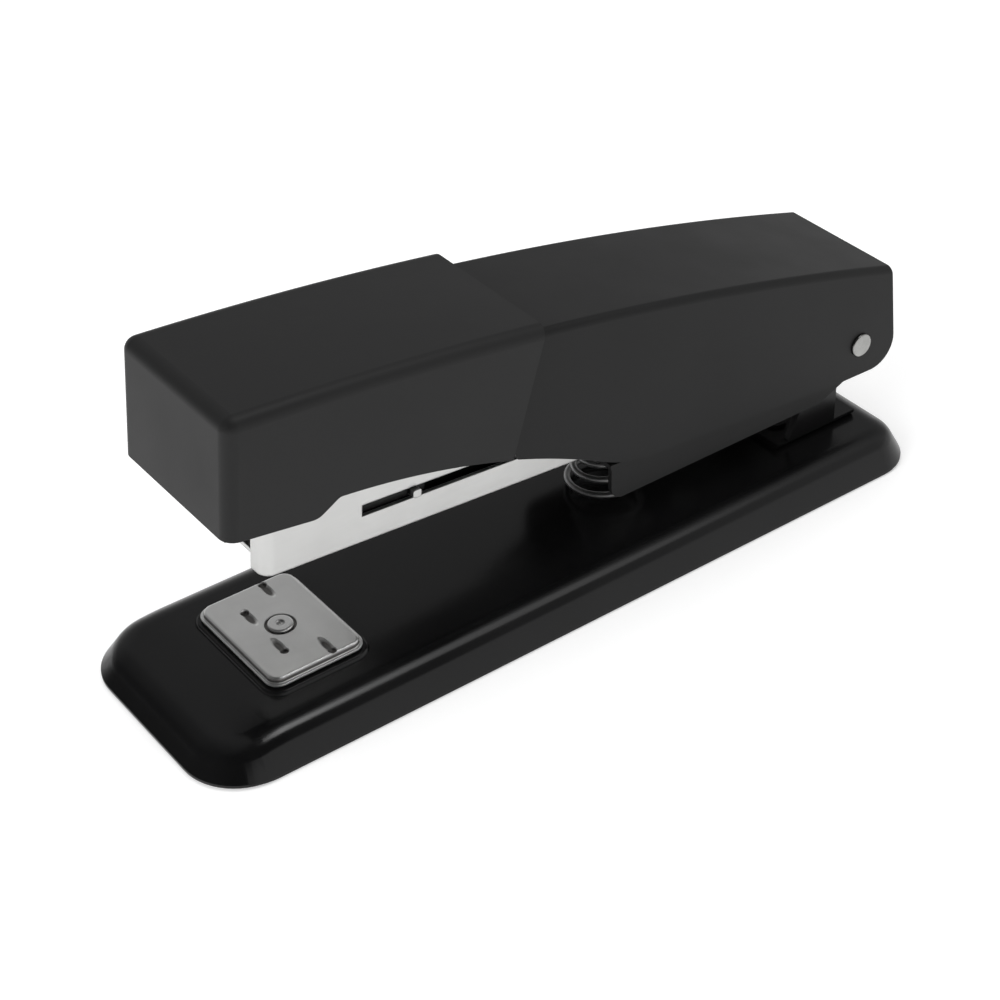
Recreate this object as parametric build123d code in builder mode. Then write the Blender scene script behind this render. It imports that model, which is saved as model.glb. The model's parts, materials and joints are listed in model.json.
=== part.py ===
from build123d import *
import os
from math import cos, pi, radians, sin, sqrt

# Desk stapler. X runs from the nose (-X) to the hinge (+X), Y across and Z up.
# The origin is on the table under the middle of the base. Sizes are in millimetres.
# A run is measured along X from the hinge and a rise is measured up from it.
# Leads and setbacks in front are measured from the nose of the magazine.

# Pressed steel base on a rubber sole
base_length = 146.9
base_width = 43.6
base_top = 6.5
base_sheet = 1.2
lip_top = 1.5
hollow_lip_top = 0.75
hollow_inset = 0.6
side_slope = 3.4
heel_slope = 2.4
nose_length = 16.5
nose_low = 2.9
nose_corner = 11.0
heel_corner = 8.5
shoulder_radius = 2.6
sole_drop = 0.5
sole_inset = 0.3
sole_plug = 0.9
sole_rim = 2.4
sole_play = 0.6
sole_nose = 4.5
sole_groove_count = 9
sole_groove_pitch = 13.0
sole_groove_width = 1.6
sole_groove_depth = 0.25

# Hinge: the pin stands in the base bracket and everything above the base turns on it
hinge_setback = 8.85
hinge_height = 23.4
pin_radius = 1.7
pin_play = 0.05
pin_head_radius = 2.15
pin_head_height = 0.4
spacer_radius = 3.6
wall_gap = 0.2
seat_gap = 0.1

# Folded steel handle
handle_width = 26.2
handle_sheet = 0.9
handle_bend = 1.3
nose_lead = 4.65
nose_rise = 35.6
roof_bulge = 3.6
heel_run = 6.4
heel_rise = 13.3
heel_overhang = 9.0
heel_drop = 6.6
heel_radius = 5.0
heel_flat = 4.6
skirt_run = 53.3
skirt_drop = 1.4
skirt_blend = 24.0
arch_bulge = 3.35
handle_setback = 5.0
tuck = 2.4

# Moulded cap over the front of the handle
cap_wall = 1.9
cap_roof = 1.6
cap_front_wall = 1.6
cap_lead = 9.75
cap_front_rise = 17.45
cap_front_lean = 1.75
chin_setback = 5.75
cap_chin_rise = 15.15
step_setback = 9.65
cap_step_rise = 17.4
cap_edge = 2.2
chin_radius = 3.0
step_radius = 1.5
seam_top_run = 70.8
seam_low_run = 77.6

# Magazine: a plated channel that leans nose up from the hinge
mag_tilt = 4.09
mag_setback = 27.95
mag_width = 15.0
mag_sheet = 0.8
mag_drop = 6.4
mag_height = 12.4
mag_tail = 4.6
flap_width = 3.7
flap_height = 8.6
flap_bend = 2.0
slot_setback = 17.75
slot_rear = 41.0
slot_low = 1.7
slot_height = 2.1
close_angle = 7.8
press_angle = 4.0

# Staples, rail and pusher inside the magazine
staple_crown = 12.7
staple_leg = 6.0
staple_wire = 0.5
staple_pitch = 0.53
staple_count = 18
staple_play = 0.3
rail_sheet = 0.8
rail_bend = 0.6
rail_tail = 20.0
pusher_length = 18.5
pusher_sheet = 0.8
pusher_leg = 3.4
pusher_boss = 4.5
boss_width = 6.0
boss_cover = 1.2
lug_setback = 16.0
lug_width = 1.5
lug_height = 1.4
lug_reach = 0.7
rod_radius = 1.1
rod_rise = 3.4
rod_overhang = 1.2
coil_radius = 2.3
coil_wire = 0.6
anchor_length = 4.0

# Driver blade
blade_thickness = 0.6
blade_width = 12.3
blade_gap = 0.3
blade_overrun = 0.2
blade_foot = 11.0
blade_rivet_setback = 6.5

# Rivets
rivet_radius = 1.3
rivet_head_radius = 2.2
rivet_head_height = 0.6

# Black carrier that hangs on the hinge and holds the magazine
carrier_sheet = 0.9
carrier_front = 55.2
carrier_web_rear = 20.5
carrier_drop = 9.7
carrier_low_rear = 7.8
carrier_front_corner = 2.5
carrier_rear_corner = 4.0
carrier_ear = 5.9
carrier_rivet_front = 38.0
carrier_rivet_rear = 28.0

# Bracket on the base
bracket_sheet = 1.2
bracket_bend = 1.0
bracket_ear = 6.2
bracket_neck_front = 14.4
bracket_neck_rear = 2.8
bracket_neck_rise = 5.0
bracket_foot_front = 16.5
bracket_foot_rear = 2.2
bracket_rivet_run = 7.2
bracket_rivet_pitch_x = 9.0
bracket_rivet_pitch_y = 10.0

# Anvil that turns on a sprung post
pad_rise = 0.6
pad_margin = 1.0
pad_taper = 35.0
anvil_length = 17.7
anvil_width = 23.5
anvil_corner = 2.5
anvil_sheet = 0.8
anvil_rim = 1.25
anvil_round = 0.5
anvil_flange = 0.5
anvil_flange_height = 0.35
anvil_clearance = 0.4
post_radius = 1.5
post_head_radius = 2.1
post_head_height = 0.35
post_dimple = 0.9
post_recess = 2.6
post_recess_depth = 0.3
post_collar = 3.2
post_end = 3.0
groove_offset = 3.0
groove_lead = 1.1
groove_round = 0.9
groove_depth = 0.4
inner_groove_start = 2.0
inner_groove_end = 6.7
outer_groove_start = 6.4
outer_groove_end = 11.1
pit_setback = 0.8
pit_radius = 0.8
pit_depth = 0.6
retainer_radius = 3.6
retainer_height = 0.8
leaf_washer = 0.4
leaf_washer_length = 15.0
leaf_washer_width = 7.0
leaf_washer_bow = 0.9

# Conical lift spring between the base and the carrier
lift_wire = 0.6
lift_run = 46.6
lift_low_radius = 7.2
lift_high_radius = 3.6
lift_flare = 1.6
lift_turns = 4.5
lift_start = 0.0
lift_seat = 0.15
stud_radius = 2.3
stud_length = 2.4

# Leaf spring that lifts the handle off the magazine
leaf_thickness = 0.5
leaf_width = 11.0
leaf_setback = 16.95
leaf_foot = 11.0
leaf_span = 34.0
leaf_bar = 3.0

# Places that follow from the sizes above
base_end = base_length / 2
base_half = base_width / 2
hinge_x = base_end - hinge_setback
hinge_z = hinge_height
handle_half = handle_width / 2
carrier_half = handle_half - handle_sheet - wall_gap
bracket_half = carrier_half - carrier_sheet - wall_gap
mag_reach = base_length - mag_setback
mag_half = mag_width / 2
mag_inner = mag_half - mag_sheet
mag_floor = mag_sheet - mag_drop
mag_top = mag_height - mag_drop
pin_hole = pin_radius + pin_play
pad_top = base_top + pad_rise
anvil_low = pad_top + anvil_clearance
anvil_top = anvil_low + anvil_rim
blade_run = mag_reach - mag_sheet - blade_gap - blade_thickness / 2
rail_front = blade_run - blade_thickness / 2 - blade_gap
rail_half = staple_crown / 2 - staple_wire - staple_play
rail_top = mag_floor + wall_gap + staple_leg - staple_wire
pusher_front = rail_front - staple_count * staple_pitch - seat_gap
boss_rear = pusher_front - pusher_length
closed_tilt = radians(mag_tilt - close_angle)
drop_x = hinge_x - blade_run * cos(closed_tilt) - mag_drop * sin(closed_tilt)
anvil_x = drop_x + groove_lead + groove_offset
lift_x = hinge_x - lift_run
slot_front = mag_reach - slot_setback
nose_run = mag_reach + nose_lead
middle_run = (nose_run - heel_run) / 2
middle_rise = (nose_rise + heel_rise) / 2 + roof_bulge
cap_front_run = mag_reach + cap_lead
cap_chin_run = mag_reach - chin_setback
cap_step_run = mag_reach - step_setback
arch_run = (cap_step_run + skirt_run) / 2
arch_rise = (cap_step_rise - skirt_drop) / 2 + arch_bulge
leaf_foot_front = mag_reach - leaf_setback
leaf_foot_rear = leaf_foot_front - leaf_foot
leaf_tip_run = leaf_foot_rear - leaf_span


def from_hinge(run, rise):
    return (hinge_x + run, hinge_z + rise)


def circle_through(first, middle, last):
    ax, az = first
    bx, bz = middle
    cx, cz = last
    a2 = ax**2 + az**2
    b2 = bx**2 + bz**2
    c2 = cx**2 + cz**2
    turn = 2 * (ax * (bz - cz) + bx * (cz - az) + cx * (az - bz))
    x = (a2 * (bz - cz) + b2 * (cz - az) + c2 * (az - bz)) / turn
    z = (a2 * (cx - bx) + b2 * (ax - cx) + c2 * (bx - ax)) / turn
    return x, z, sqrt((ax - x) ** 2 + (az - z) ** 2)


def side_plane(tilt):
    lean = radians(tilt)
    return Plane((hinge_x, 0, hinge_z), x_dir=(cos(lean), 0, -sin(lean)), z_dir=(0, -1, 0))


def across(plane, run, rise=0.0):
    place = plane.from_local_coords((run, rise, 0))
    return Plane(place, x_dir=(0, 1, 0), z_dir=plane.x_dir)


def above(plane, run, rise):
    place = plane.from_local_coords((run, rise, 0))
    return Plane(place, x_dir=plane.x_dir, z_dir=plane.y_dir)


# Side planes through the hinge: the magazine's own, and the blade's before the handle is pressed
mag_side = side_plane(mag_tilt)
blade_side = side_plane(mag_tilt + press_angle)

# The handle's roof line and the arch of its lower edge are single arcs
roof_x, roof_z, roof_radius = circle_through(
    from_hinge(-nose_run, nose_rise),
    from_hinge(-middle_run, middle_rise),
    from_hinge(heel_run, heel_rise),
)
arch_x, arch_z, arch_radius = circle_through(
    from_hinge(-cap_step_run, cap_step_rise),
    from_hinge(-arch_run, arch_rise),
    from_hinge(-skirt_run, -skirt_drop),
)


def roof_point(run, lift=0.0):
    x = hinge_x + run
    return (x, roof_z + sqrt((roof_radius + lift) ** 2 - (x - roof_x) ** 2))


def roof_plane(run, depth):
    x, z = roof_point(run, -depth)
    normal = Vector(x - roof_x, 0, z - roof_z).normalized()
    return Plane((x, 0, z), x_dir=(normal.Z, 0, -normal.X), z_dir=normal)


def arch_point(run):
    x = hinge_x + run
    return (x, arch_z + sqrt(arch_radius**2 - (x - arch_x) ** 2))


def draw_outline(front, rear, side, front_corner, rear_corner=0.0):
    Polygon((front, -side), (rear, -side), (rear, side), (front, side), align=None)
    fillet(vertices().group_by(Axis.X)[0], front_corner)
    if rear_corner > 0:
        fillet(vertices().group_by(Axis.X)[-1], rear_corner)


def draw_box(low, high, mode=Mode.ADD):
    Polygon(low, (high[0], low[1]), high, (low[0], high[1]), align=None, mode=mode)


def add_rivets(plane, spots, grip):
    with BuildSketch(plane) as shanks:
        with Locations(*spots):
            Circle(rivet_radius)
    extrude(shanks.sketch, amount=grip)
    for head_plane in (plane, plane.offset(grip + rivet_head_height)):
        with BuildSketch(head_plane) as heads:
            with Locations(*spots):
                Circle(rivet_head_radius)
        extrude(heads.sketch, amount=-rivet_head_height)


def add_flush_rivets(plane, spots, grip):
    with BuildSketch(plane) as shanks:
        with Locations(*spots):
            Circle(rivet_radius)
    extrude(shanks.sketch, amount=grip)
    with BuildSketch(plane) as heads:
        with Locations(*spots):
            Circle(rivet_head_radius)
    extrude(heads.sketch, amount=-rivet_head_height)


def cut_rivet_holes(plane, spots, depth):
    with BuildSketch(plane) as holes:
        with Locations(*spots):
            Circle(rivet_radius + pin_play)
    extrude(holes.sketch, amount=depth, both=True, mode=Mode.SUBTRACT)


def cut_pin_hole():
    with BuildSketch(Plane.XZ) as hole:
        with Locations(from_hinge(0, 0)):
            Circle(pin_hole)
    extrude(hole.sketch, amount=base_half, both=True, mode=Mode.SUBTRACT)


bracket_spots = [
    (hinge_x - bracket_rivet_run + x * bracket_rivet_pitch_x / 2, y * bracket_rivet_pitch_y / 2)
    for x in (-1, 1)
    for y in (-1, 1)
]
carrier_spots = [(-carrier_rivet_front, 0), (-carrier_rivet_rear, 0)]


def raise_tray(inset, lip, top, wall_inset, radius):
    with BuildSketch(Plane.XY.offset(sole_drop)) as rim:
        draw_outline(
            inset - base_end, base_end - inset, base_half - inset, nose_corner - inset, heel_corner - inset
        )
    extrude(rim.sketch, amount=lip - sole_drop)
    with BuildSketch(Plane.XY.offset(top)) as crown:
        draw_outline(
            side_slope + wall_inset - base_end,
            base_end - heel_slope - wall_inset,
            base_half - side_slope - wall_inset,
            nose_corner - side_slope - wall_inset,
            heel_corner - side_slope - wall_inset,
        )
    rim_top = faces().sort_by(Axis.Z)[-1]
    loft([rim_top, crown.sketch.face()], ruled=True)
    nose_drop = base_top - nose_low
    nose_radius = (nose_length**2 + nose_drop**2) / (2 * nose_drop)
    with BuildSketch(Plane.XZ) as above_nose:
        draw_box((-base_length, top - nose_drop), (nose_length - base_end, 2 * base_top))
        with Locations((nose_length - base_end, top - nose_radius)):
            Circle(nose_radius, mode=Mode.SUBTRACT)
    extrude(above_nose.sketch, amount=base_width, both=True, mode=Mode.SUBTRACT)
    crown_faces = faces().sort_by(Axis.Z)[-2:]
    shared = [edge for edge in crown_faces[0].edges() if edge in crown_faces[1].edges()]
    fillet([edge for face in crown_faces for edge in face.edges() if edge not in shared], radius)


with BuildPart() as base_hollow:
    hollow_top = base_top - base_sheet
    raise_tray(base_sheet, hollow_lip_top, hollow_top, hollow_inset, shoulder_radius - base_sheet)

with BuildPart() as base_plate:
    raise_tray(0, lip_top, base_top, 0, shoulder_radius)
    add(base_hollow.part, mode=Mode.SUBTRACT)
    with BuildSketch(Plane.XY.offset(base_top)):
        with Locations((anvil_x, 0)):
            RectangleRounded(
                anvil_length + 2 * pad_margin, anvil_width + 2 * pad_margin, anvil_corner + pad_margin
            )
    extrude(amount=pad_rise, taper=pad_taper)
    with BuildSketch(Plane.XY.offset(base_top - base_sheet)):
        with Locations((anvil_x, 0)):
            RectangleRounded(anvil_length, anvil_width, anvil_corner)
    extrude(amount=pad_rise, mode=Mode.SUBTRACT)
    with Locations((anvil_x, 0, pad_top)):
        Hole(post_radius + pin_play)
    cut_rivet_holes(Plane.XY.offset(base_top), bracket_spots, 2 * base_sheet)
base_plate.part.label = "base_plate"

with BuildPart() as rubber_sole:
    with BuildSketch():
        draw_outline(
            sole_inset - base_end,
            base_end - sole_inset,
            base_half - sole_inset,
            nose_corner - sole_inset,
            heel_corner - sole_inset,
        )
    extrude(amount=sole_drop)
    plug_inset = base_sheet + sole_play
    with BuildSketch(Plane.XY.offset(sole_drop)):
        draw_outline(
            sole_nose - base_end,
            base_end - plug_inset,
            base_half - plug_inset,
            nose_corner - plug_inset,
            heel_corner - plug_inset,
        )
        offset(amount=-sole_rim, mode=Mode.SUBTRACT)
    extrude(amount=sole_plug)
    with BuildSketch():
        with GridLocations(sole_groove_pitch, 0, sole_groove_count, 1):
            SlotOverall(base_half, sole_groove_width, rotation=90)
    extrude(amount=sole_groove_depth, mode=Mode.SUBTRACT)
rubber_sole.part.label = "rubber_sole"

with BuildPart() as hinge_bracket:
    with BuildSketch(Plane.XZ):
        with Locations(from_hinge(0, 0)):
            Circle(bracket_ear)
        with BuildLine():
            Polyline(
                (hinge_x - bracket_neck_front, base_top),
                (hinge_x - bracket_neck_rear, base_top),
                from_hinge(-bracket_neck_rear, -bracket_neck_rise),
                from_hinge(-bracket_ear * cos(pi / 4), bracket_ear * sin(pi / 4)),
                close=True,
            )
        make_face()
    extrude(amount=bracket_half, both=True)
    with BuildSketch(Plane.XZ):
        draw_box(
            (hinge_x - bracket_foot_front, base_top),
            (hinge_x + bracket_foot_rear, base_top + bracket_sheet),
        )
    extrude(amount=bracket_half, both=True)
    with BuildSketch(Plane.XZ):
        draw_box(
            (hinge_x - bracket_foot_front, base_top + bracket_sheet),
            (base_end, hinge_z + 2 * bracket_ear),
        )
    extrude(amount=bracket_half - bracket_sheet, both=True, mode=Mode.SUBTRACT)
    fillet(hinge_bracket.edges().filter_by(Axis.X).group_by(Axis.Z)[0], bracket_bend)
    cut_pin_hole()
    cut_rivet_holes(Plane.XY.offset(base_top), bracket_spots, 2 * bracket_sheet)
hinge_bracket.part.label = "hinge_bracket"

with BuildPart() as bracket_rivets:
    add_rivets(Plane.XY.offset(base_top - base_sheet), bracket_spots, base_sheet + bracket_sheet)
bracket_rivets.part.label = "bracket_rivets"

with BuildPart() as hinge_pin:
    with BuildSketch(Plane.XZ):
        with Locations(from_hinge(0, 0)):
            Circle(pin_radius)
    extrude(amount=handle_half + seat_gap, both=True)
    for side in (-1, 1):
        with BuildSketch(Plane.XZ.offset(side * (handle_half + seat_gap))):
            with Locations(from_hinge(0, 0)):
                Circle(pin_head_radius)
        extrude(amount=side * pin_head_height)
    head_rims = hinge_pin.edges().filter_by(GeomType.CIRCLE).sort_by(Axis.Y)
    fillet([head_rims[0], head_rims[-1]], pin_head_height / 2)
hinge_pin.part.label = "hinge_pin"

with BuildPart() as pin_spacers:
    for side in (-1, 1):
        with BuildSketch(Plane.XZ.offset(side * (mag_half + wall_gap))):
            with Locations(from_hinge(0, 0)):
                Circle(spacer_radius)
                Circle(pin_hole, mode=Mode.SUBTRACT)
        extrude(amount=side * (bracket_half - bracket_sheet - mag_half - 2 * wall_gap))
pin_spacers.part.label = "pin_spacers"

with BuildPart() as anvil_plate:
    with BuildSketch(Plane.XY.offset(anvil_low)):
        with Locations((anvil_x, 0)):
            RectangleRounded(anvil_length, anvil_width, anvil_corner)
    extrude(amount=anvil_flange_height)
    with BuildSketch(Plane.XY.offset(anvil_low)):
        with Locations((anvil_x, 0)):
            RectangleRounded(
                anvil_length - 2 * anvil_flange, anvil_width - 2 * anvil_flange, anvil_corner - anvil_flange
            )
    extrude(amount=anvil_rim)
    fillet(anvil_plate.faces().sort_by(Axis.Z)[-1].edges(), anvil_round)
    with BuildSketch(Plane.XY.offset(anvil_low)):
        with Locations((anvil_x, 0)):
            shrink = anvil_flange + anvil_sheet
            RectangleRounded(anvil_length - 2 * shrink, anvil_width - 2 * shrink, anvil_corner - shrink)
    extrude(amount=anvil_rim - anvil_sheet, mode=Mode.SUBTRACT)
    grooves = [
        (-groove_offset, inner_groove_start, inner_groove_end),
        (groove_offset, outer_groove_start, outer_groove_end),
    ]
    for lead, start, end in grooves:
        reach = ((end - start) ** 2 / 4 + groove_depth**2) / (2 * groove_depth)
        for side in (-1, 1):
            centre = (anvil_x + lead, side * (start + end) / 2, anvil_top - groove_depth + reach)
            with Locations(Location(centre, (0, 90, 0))):
                Torus(reach - groove_round, groove_round, mode=Mode.SUBTRACT)
            pit = (anvil_x + lead, side * (end - pit_setback), anvil_top - pit_depth + pit_radius)
            with Locations(pit):
                Sphere(pit_radius, mode=Mode.SUBTRACT)
    with Locations((anvil_x, 0, anvil_top)):
        CounterBoreHole(post_radius + pin_play, post_recess, post_recess_depth)
anvil_plate.part.label = "anvil_plate"

with BuildPart() as anvil_post:
    head_low = anvil_top - post_recess_depth
    with BuildSketch(Plane.XY.offset(post_end)):
        with Locations((anvil_x, 0)):
            Circle(post_radius)
    extrude(amount=head_low - post_end)
    with BuildSketch(Plane.XY.offset(head_low)):
        with Locations((anvil_x, 0)):
            Circle(post_head_radius)
    extrude(amount=post_recess_depth + post_head_height)
    fillet(anvil_post.faces().sort_by(Axis.Z)[-1].edges(), post_head_height)
    with Locations((anvil_x, 0, anvil_top + post_head_height + post_dimple / 2)):
        Sphere(post_dimple, mode=Mode.SUBTRACT)
    with BuildSketch(Plane.XY.offset(pad_top + pin_play)):
        with Locations((anvil_x, 0)):
            Circle(post_collar)
    extrude(amount=anvil_clearance + anvil_rim - anvil_sheet - pin_play)
anvil_post.part.label = "anvil_post"

retainer_top = pad_top - base_sheet - leaf_washer - leaf_washer_bow - seat_gap

with BuildPart() as anvil_retainer:
    with BuildSketch(Plane.XY.offset(retainer_top)):
        with Locations((anvil_x, 0)):
            Circle(retainer_radius)
            Circle(post_radius + pin_play, mode=Mode.SUBTRACT)
    extrude(amount=-retainer_height)
anvil_retainer.part.label = "anvil_retainer"

with BuildPart() as anvil_leaf:
    leaf_low = retainer_top + pin_play
    leaf_half = leaf_washer_length / 2
    with BuildSketch(Plane.YZ.offset(anvil_x)):
        with BuildLine():
            lower = ThreePointArc(
                (-leaf_half, leaf_low + leaf_washer_bow),
                (0, leaf_low),
                (leaf_half, leaf_low + leaf_washer_bow),
            )
            offset(lower, amount=leaf_washer, side=Side.LEFT)
        make_face()
    extrude(amount=leaf_washer_width / 2, both=True)
    with Locations((anvil_x, 0, pad_top)):
        Hole(post_radius + wall_gap)
anvil_leaf.part.label = "anvil_leaf"

with BuildPart() as magazine_carrier:
    web_front = mag_side.to_local_coords(Vector(hinge_x - carrier_front, 0, hinge_z)).X
    with BuildSketch(Plane.XZ):
        with BuildLine():
            Polyline(
                from_hinge(-carrier_front, carrier_front * sin(radians(mag_tilt)) - mag_drop),
                from_hinge(-carrier_front, -carrier_drop),
                from_hinge(-carrier_low_rear, -carrier_drop),
                from_hinge(carrier_ear * cos(-pi / 3), carrier_ear * sin(-pi / 3)),
                from_hinge(0, carrier_ear),
                from_hinge(-carrier_web_rear, carrier_web_rear * sin(radians(mag_tilt)) - mag_drop),
                close=True,
            )
        make_face()
        low_corners = vertices().group_by(Axis.Y)[0].sort_by(Axis.X)
        fillet(low_corners[0], carrier_front_corner)
        fillet(low_corners[-1], carrier_rear_corner)
        with Locations(from_hinge(0, 0)):
            Circle(carrier_ear)
    extrude(amount=carrier_half, both=True)
    with BuildSketch(Plane.XZ):
        draw_box(from_hinge(-nose_run, -hinge_height), from_hinge(nose_run, hinge_height))
    extrude(amount=carrier_half - carrier_sheet, both=True, mode=Mode.SUBTRACT)
    with BuildSketch(mag_side):
        draw_box((web_front, -mag_drop - carrier_sheet), (-carrier_web_rear, -mag_drop))
    extrude(amount=carrier_half, both=True)
    cut_pin_hole()
    cut_rivet_holes(above(mag_side, 0, -mag_drop), carrier_spots + [(-lift_run, 0)], 2 * carrier_sheet)
magazine_carrier.part.label = "magazine_carrier"

with BuildPart() as magazine_channel:
    with BuildSketch(above(mag_side, 0, -mag_drop)):
        draw_outline(-mag_reach, mag_tail, mag_half, flap_bend)
    extrude(amount=mag_height)
    with BuildSketch(above(mag_side, 0, mag_floor)):
        draw_outline(mag_sheet - mag_reach, 2 * mag_tail, mag_inner, flap_bend - mag_sheet)
    extrude(amount=mag_height, mode=Mode.SUBTRACT)
    with BuildSketch(above(mag_side, 0, flap_height - mag_drop)):
        draw_box((-mag_reach, -mag_half), (flap_bend - mag_reach, mag_half))
    extrude(amount=mag_height, mode=Mode.SUBTRACT)
    flap_edge = mag_half - flap_width
    with BuildSketch(above(mag_side, 0, -mag_drop)):
        draw_box((-mag_reach, -flap_edge), (flap_bend - mag_reach, flap_edge))
    extrude(amount=mag_height, mode=Mode.SUBTRACT)
    with BuildSketch(above(mag_side, 0, -mag_drop)):
        draw_box((mag_sheet - mag_reach, -mag_inner), (-rail_front, mag_inner))
    extrude(amount=mag_sheet, mode=Mode.SUBTRACT)
    with BuildSketch(mag_side):
        draw_box((-slot_front, -slot_low), (-slot_rear, slot_height - slot_low))
    extrude(amount=mag_width, both=True, mode=Mode.SUBTRACT)
    cut_pin_hole()
    cut_rivet_holes(above(mag_side, 0, mag_floor), carrier_spots + [(-lift_run, 0)], 2 * mag_sheet)
magazine_channel.part.label = "magazine_channel"

with BuildPart() as carrier_rivets:
    add_rivets(above(mag_side, 0, -mag_drop - carrier_sheet), carrier_spots, carrier_sheet + mag_sheet)
carrier_rivets.part.label = "carrier_rivets"

with BuildPart() as spring_stud:
    stud_plane = above(mag_side, -lift_run, -mag_drop - carrier_sheet)
    with BuildSketch(stud_plane):
        Circle(stud_radius)
    extrude(amount=-stud_length)
    with BuildSketch(stud_plane):
        Circle(rivet_radius)
    extrude(amount=carrier_sheet + mag_sheet)
    with BuildSketch(stud_plane.offset(carrier_sheet + mag_sheet)):
        Circle(rivet_head_radius)
    extrude(amount=rivet_head_height)
spring_stud.part.label = "spring_stud"

with BuildPart() as staple_rail:
    with BuildSketch(across(mag_side, -rail_front)):
        draw_box((-rail_half, mag_floor), (rail_half, rail_top))
        fillet(vertices().group_by(Axis.Y)[-1], rail_bend)
        inside = rail_half - rail_sheet
        draw_box((-inside, mag_floor), (inside, rail_top - rail_sheet), Mode.SUBTRACT)
    extrude(amount=rail_front - rail_tail)
staple_rail.part.label = "staple_rail"

with BuildPart() as staple_strip:
    staple_half = staple_crown / 2
    with BuildSketch(across(mag_side, -rail_front)):
        draw_box((-staple_half, mag_floor + wall_gap), (staple_half, rail_top + staple_wire))
        inside = staple_half - staple_wire
        draw_box((-inside, mag_floor), (inside, rail_top), Mode.SUBTRACT)
    extrude(amount=staple_count * staple_pitch)
staple_strip.part.label = "staple_strip"

rod_clearance = rod_radius + pin_play
saddle_low = rail_top + wall_gap
saddle_top = saddle_low + pusher_sheet

with BuildPart() as pusher:
    saddle_half = mag_inner - wall_gap
    saddle_inner = rail_half + wall_gap
    with BuildSketch(across(mag_side, -pusher_front)):
        draw_box((-saddle_half, rail_top - pusher_leg), (saddle_half, saddle_top))
        draw_box((-saddle_inner, rail_top - pusher_leg), (saddle_inner, saddle_low), Mode.SUBTRACT)
    extrude(amount=pusher_length)
    with BuildSketch(across(mag_side, -boss_rear)):
        draw_box((-boss_width / 2, saddle_top), (boss_width / 2, rod_rise + rod_clearance + boss_cover))
        fillet(vertices().group_by(Axis.Y)[-1], boss_cover)
    extrude(amount=-pusher_boss)
    with BuildSketch(across(mag_side, -boss_rear)):
        with Locations((0, rod_rise)):
            Circle(rod_clearance)
    extrude(amount=-pusher_length, mode=Mode.SUBTRACT)
    lug_centre = slot_height / 2 - slot_low
    for side in (-1, 1):
        with BuildSketch(mag_side.offset(side * saddle_half)):
            with Locations((lug_setback - pusher_front, lug_centre)):
                RectangleRounded(lug_width, lug_height, lug_height / 4)
        extrude(amount=side * (mag_half + lug_reach - saddle_half))
pusher.part.label = "pusher"

with BuildPart() as rod_anchor:
    with BuildSketch(across(mag_side, -rail_tail)):
        draw_box((-mag_inner, mag_floor), (mag_inner, mag_top))
        with Locations((0, rod_rise)):
            Circle(rod_clearance, mode=Mode.SUBTRACT)
    extrude(amount=anchor_length)
rod_anchor.part.label = "rod_anchor"

with BuildPart() as pusher_rod:
    with BuildSketch(across(mag_side, -boss_rear - pusher_boss - rod_overhang)):
        with Locations((0, rod_rise)):
            Circle(rod_radius)
    extrude(amount=boss_rear + pusher_boss + rod_overhang - rail_tail + anchor_length)
pusher_rod.part.label = "pusher_rod"

with BuildPart() as pusher_spring:
    with BuildSketch(across(mag_side, -boss_rear + seat_gap)):
        with Locations((0, rod_rise)):
            Circle(coil_radius)
            Circle(coil_radius - coil_wire, mode=Mode.SUBTRACT)
    extrude(amount=boss_rear - rail_tail - 2 * seat_gap)
pusher_spring.part.label = "pusher_spring"

# The blade meets the roof sheet where its own line crosses the underside of the roof
blade_foot_centre = blade_side.from_local_coords((-blade_run, 0, 0))
from_centre = blade_foot_centre - Vector(roof_x, 0, roof_z)
along = from_centre.dot(blade_side.y_dir)
under_radius = roof_radius - handle_sheet
blade_height = sqrt(along**2 - from_centre.dot(from_centre) + under_radius**2) - along
blade_head_run = (blade_side.from_local_coords((-blade_run, blade_height, 0))).X - hinge_x
foot_front = blade_head_run - blade_thickness / 2
foot_rear = foot_front + blade_foot
blade_rivets = roof_plane(foot_front + blade_rivet_setback, handle_sheet + blade_thickness + pin_play)
blade_spots = [(0, -blade_width / 4), (0, blade_width / 4)]
leaf_rivet_run = (leaf_foot_front + leaf_foot_rear) / 2
leaf_rivet_plane = roof_plane(-leaf_rivet_run, handle_sheet + leaf_thickness + pin_play)
leaf_spots = [(0, -leaf_width / 4), (0, leaf_width / 4)]

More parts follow.
